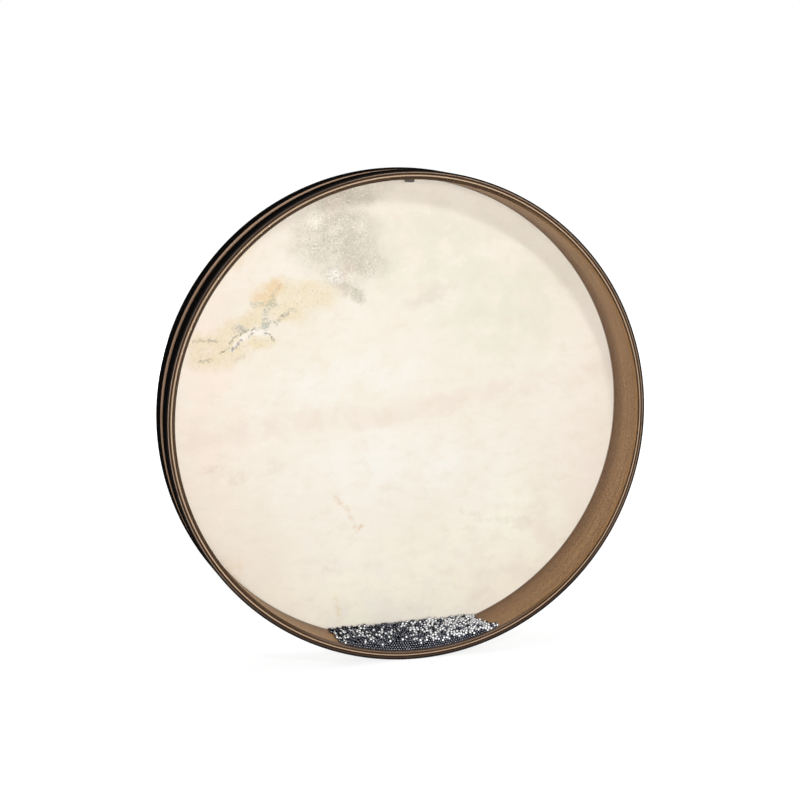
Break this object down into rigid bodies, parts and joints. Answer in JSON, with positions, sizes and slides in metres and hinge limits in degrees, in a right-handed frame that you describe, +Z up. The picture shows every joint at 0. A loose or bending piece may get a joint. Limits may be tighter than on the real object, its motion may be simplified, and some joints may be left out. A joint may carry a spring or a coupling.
{
  "type": "ocean drum",
  "caption": "Shallow round two-headed frame drum with a clear film head, a goat skin head and loose steel beads that roll inside it to sound like surf.",
  "frame": {"origin": "centre of the drum: on its axis, halfway between the outsides of the two heads", "axes": "+Y along the drum's axis, out of the skin head; -Y out of the clear head; +Z up, with the drum upright, the plug at the top and the bead heap at the bottom"},
  "size_m": [0.5587, 0.0754, 0.5588],
  "materials": {
    "shell_wood": "satin",
    "hoop_wood": "satin",
    "clear_film": "gloss",
    "goat_skin": "matte",
    "black_ribbon": "matte",
    "plug_rubber": "matte",
    "dark_steel": "satin",
    "bright_steel": "polished"
  },
  "bodies": {
    "drum": {"shell": "shell_wood", "fill_port": "shell_wood", "front_hoop": "hoop_wood", "back_hoop": "hoop_wood", "clear_head": "clear_film", "clear_skirt": "clear_film", "skin_head": "goat_skin", "skin_skirt": "goat_skin", "front_ribbon": "black_ribbon", "back_ribbon": "black_ribbon"},
    "plug": {"fill_plug": "plug_rubber"},
    "beads": {"bead_bed": "dark_steel", "dark_beads": "dark_steel", "bright_beads": "bright_steel"}
  },
  "joints": [
    {"name": "bead_roll", "type": "hinge", "parent": "drum", "child": "beads", "pos_m": [0, 0, 0], "axis": [0, 1, 0], "continuous": true},
    {"name": "plug_pull", "type": "slide", "parent": "drum", "child": "plug", "axis": [0.0593, 0, 0.9982], "range_m": [0, 0.016]}
  ]
}
